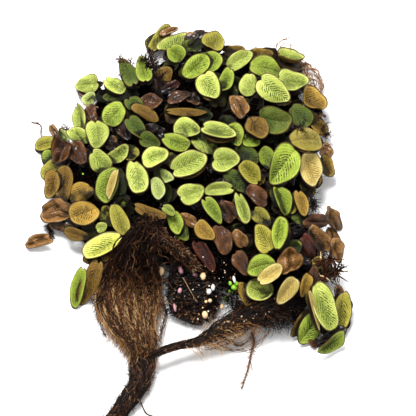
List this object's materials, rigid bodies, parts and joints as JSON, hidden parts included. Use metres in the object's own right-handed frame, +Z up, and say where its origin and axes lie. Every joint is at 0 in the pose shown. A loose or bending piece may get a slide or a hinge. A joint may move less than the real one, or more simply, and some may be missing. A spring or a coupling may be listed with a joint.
{
  "type": "water spangles clump",
  "caption": "Tangled clump of a small floating fern with notched oval leaves on a root mat, a hairy root fan and a trailing root strand, lying on a surface.",
  "frame": {"origin": "middle of the clump's bounding box, at the flat underside that rests on the surface", "axes": "+Z up from the surface, +Y away from the root tail towards the far edge of the leaves, +X to the right as the clump is seen with its root tail towards the viewer"},
  "size_m": [0.1306, 0.1752, 0.0295],
  "materials": {
    "leaf_green": "satin",
    "leaf_olive": "satin",
    "leaf_brown": "satin",
    "root_dark": "matte",
    "root_gold": "matte"
  },
  "bodies": {
    "root": {"root_mat": "root_dark", "root_fan": "root_gold", "root_tail": "root_dark", "root_tuft": "root_dark", "root_sprig": "root_dark", "root_strand": "root_dark", "star_tuft": "root_dark", "hairy_loop": "root_dark", "top_stem": "root_dark", "left_stem": "root_dark", "left_leaf_01": "leaf_olive", "left_leaf_02": "leaf_brown", "left_leaf_03": "leaf_olive", "left_leaf_04": "leaf_brown", "left_leaf_05": "leaf_olive", "left_leaf_06": "leaf_green", "left_leaf_07": "leaf_green", "left_leaf_08": "leaf_green", "left_leaf_09": "leaf_green", "left_leaf_10": "leaf_green", "left_leaf_11": "leaf_green", "top_leaf_01": "leaf_green", "top_leaf_02": "leaf_olive", "top_leaf_03": "leaf_green", "top_leaf_04": "leaf_green", "top_leaf_05": "leaf_green", "top_leaf_06": "leaf_olive", "top_leaf_07": "leaf_olive", "top_leaf_08": "leaf_green", "top_leaf_09": "leaf_olive", "top_leaf_10": "leaf_green", "top_leaf_11": "leaf_green", "top_leaf_12": "leaf_brown", "top_leaf_13": "leaf_green", "top_leaf_14": "leaf_green", "top_leaf_15": "leaf_green", "top_leaf_16": "leaf_olive", "top_leaf_17": "leaf_green", "top_leaf_18": "leaf_olive", "middle_leaf_01": "leaf_green", "middle_leaf_02": "leaf_olive", "middle_leaf_03": "leaf_olive", "middle_leaf_04": "leaf_olive", "middle_leaf_05": "leaf_green", "middle_leaf_06": "leaf_green", "lower_leaf_01": "leaf_brown", "lower_leaf_02": "leaf_olive", "lower_leaf_03": "leaf_green", "lower_leaf_04": "leaf_olive", "lower_leaf_05": "leaf_green", "lower_leaf_06": "leaf_brown", "lower_leaf_07": "leaf_brown", "lower_leaf_08": "leaf_green", "lower_leaf_09": "leaf_brown", "lower_leaf_10": "leaf_green", "lower_leaf_11": "leaf_brown", "lower_leaf_12": "leaf_olive", "lower_leaf_13": "leaf_green", "lower_leaf_14": "leaf_green", "lower_leaf_15": "leaf_green"}
  },
  "joints": []
}
